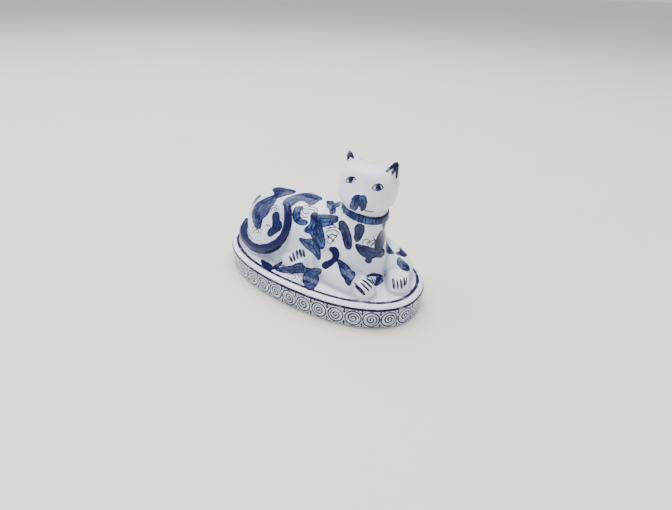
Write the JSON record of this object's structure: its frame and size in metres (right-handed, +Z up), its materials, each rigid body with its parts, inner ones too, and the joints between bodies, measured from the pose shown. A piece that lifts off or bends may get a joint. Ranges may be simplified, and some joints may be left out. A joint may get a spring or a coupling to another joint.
{
  "type": "ceramic cat figurine",
  "caption": "Glazed porcelain cat lying on an oval plinth, head turned to its side, painted in cobalt blue with butterflies, leaves and a scroll band.",
  "frame": {"origin": "centre of the plinth's footprint at the bottom of its foot ring", "axes": "+X along the plinth towards the cat's chest, +Z up, the cat's face and right side look towards -Y"},
  "size_m": [0.19, 0.106, 0.1242],
  "materials": {
    "glaze": "white porcelain under clear glossy glaze, painted in underglaze blue",
    "cobalt": "solid cobalt blue under clear glossy glaze",
    "wash_blue": "pale blue wash between dark lines under clear glossy glaze"
  },
  "bodies": {
    "root": {"plinth": "glaze", "body": "glaze", "head": "glaze", "left_ear": "glaze", "right_ear": "glaze", "collar": "wash_blue", "tail": "cobalt", "right_haunch": "glaze", "left_haunch": "glaze", "right_foreleg": "glaze", "left_foreleg": "glaze", "right_forepaw": "glaze", "left_forepaw": "glaze", "right_hind_paw": "glaze", "left_hind_paw": "glaze"}
  },
  "joints": []
}
